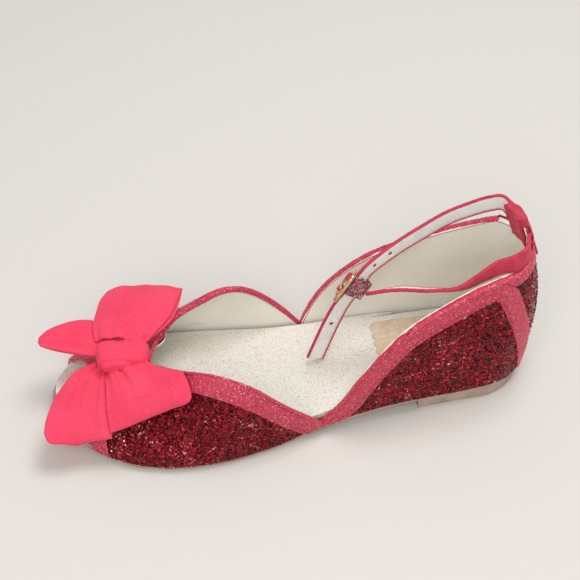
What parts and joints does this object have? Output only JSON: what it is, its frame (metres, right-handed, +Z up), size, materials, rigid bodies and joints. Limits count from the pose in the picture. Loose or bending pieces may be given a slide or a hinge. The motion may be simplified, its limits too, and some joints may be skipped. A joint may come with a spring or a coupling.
{
  "type": "peep-toe ankle-strap dress flat",
  "caption": "Girl's left dress flat with an open toe, low-cut sides, glitter upper, bound edges, heel tab, buckled ankle strap and a fabric bow.",
  "frame": {"origin": "on the floor under the middle of the heel lift", "axes": "+X towards the toe, +Y towards the outer side of the foot, +Z up; the sole stands on Z = 0"},
  "size_m": [0.2187, 0.0783, 0.0873],
  "materials": {
    "binding": "shimmering crimson bias binding",
    "board": "pressed fibre board",
    "cork": "ground cork filler",
    "crepe": "soft coral red crepe",
    "foam": "thin latex foam",
    "glitter": "dense deep red glitter fabric",
    "keeper_glitter": "coarse mauve red glitter",
    "lift": "matt beige heel lift",
    "linen": "coarse off-white linen weave",
    "lining": "smooth cream lining",
    "pad_leather": "glossy tan coated leather",
    "satin": "satin red strap fabric",
    "sole": "fine matt sheet sole, beige grey",
    "spring_steel": "flat spring steel",
    "wire": "pale gold plated wire"
  },
  "bodies": {
    "shoe": {"back_panel": "glitter", "bottom_filler": "cork", "bow_knot": "crepe", "bow_petal_heel_inner": "crepe", "bow_petal_heel_outer": "crepe", "bow_petal_toe_inner": "crepe", "bow_petal_toe_outer": "crepe", "collar_binding": "binding", "heel_counter": "board", "heel_lift": "lift", "heel_pad": "pad_leather", "heel_tab": "satin", "insole_board": "board", "outsole": "sole", "quarter_binding_inner": "binding", "quarter_binding_outer": "binding", "quarter_inner": "glitter", "quarter_interlining": "foam", "quarter_lining": "lining", "quarter_outer": "glitter", "shank": "spring_steel", "sock_cover": "linen", "sock_foam": "foam", "strap_face_heel": "satin", "strap_lining_heel": "lining", "toe_binding": "binding", "vamp": "glitter", "vamp_lining": "lining", "vamp_topline_binding": "binding"},
    "ankle_strap": {"buckle_chape": "satin", "strap_face_inner": "satin", "strap_face_outer": "satin", "strap_keeper": "keeper_glitter", "strap_lining_inner": "lining", "strap_lining_outer": "lining"},
    "buckle": {"buckle_frame": "wire"},
    "prong": {"buckle_prong": "wire"}
  },
  "joints": [
    {"name": "strap_swing", "type": "hinge", "parent": "shoe", "child": "ankle_strap", "pos_m": [-0.019, -0.003, 0.0795], "axis": [0, -1, 0], "range_deg": [0, 70]},
    {"name": "buckle_tilt", "type": "hinge", "parent": "ankle_strap", "child": "buckle", "pos_m": [0.05594, -0.00302, 0.05765], "axis": [0.6456, 0.2583, -0.7186], "range_deg": [-12, 12]},
    {"name": "prong_lift", "type": "hinge", "parent": "buckle", "child": "prong", "pos_m": [0.05594, -0.00302, 0.05765], "axis": [0.6456, 0.2583, -0.7186], "range_deg": [0, 12]}
  ]
}
